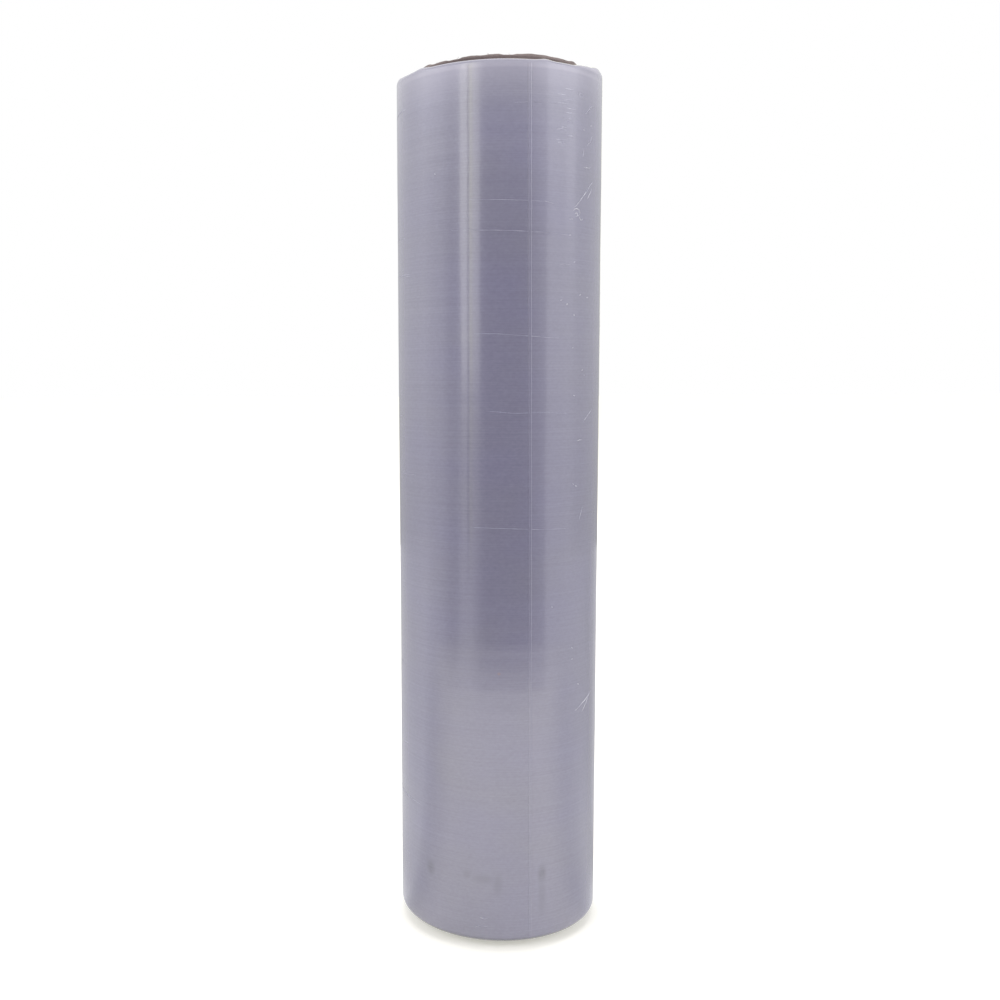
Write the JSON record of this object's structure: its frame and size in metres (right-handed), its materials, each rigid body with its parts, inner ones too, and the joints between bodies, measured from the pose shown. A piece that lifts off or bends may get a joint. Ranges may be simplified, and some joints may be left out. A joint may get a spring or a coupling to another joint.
{
  "type": "stretch wrap roll",
  "caption": "Roll of clear stretch film wound tightly on a longer hollow cardboard core, standing upright on the core's end.",
  "frame": {"origin": "centre of the core's lower end, on the plane that the roll stands on", "axes": "+Z along the axis of the roll, upwards; -Y towards the side seen in the picture, with the hem of the film's tail a little to its right, towards +X"},
  "size_m": [0.11, 0.11, 0.466],
  "materials": {
    "kraft_board": "matte",
    "clear_film": "gloss"
  },
  "bodies": {
    "root": {"cardboard_core": "kraft_board", "film_roll": "clear_film"}
  },
  "joints": []
}
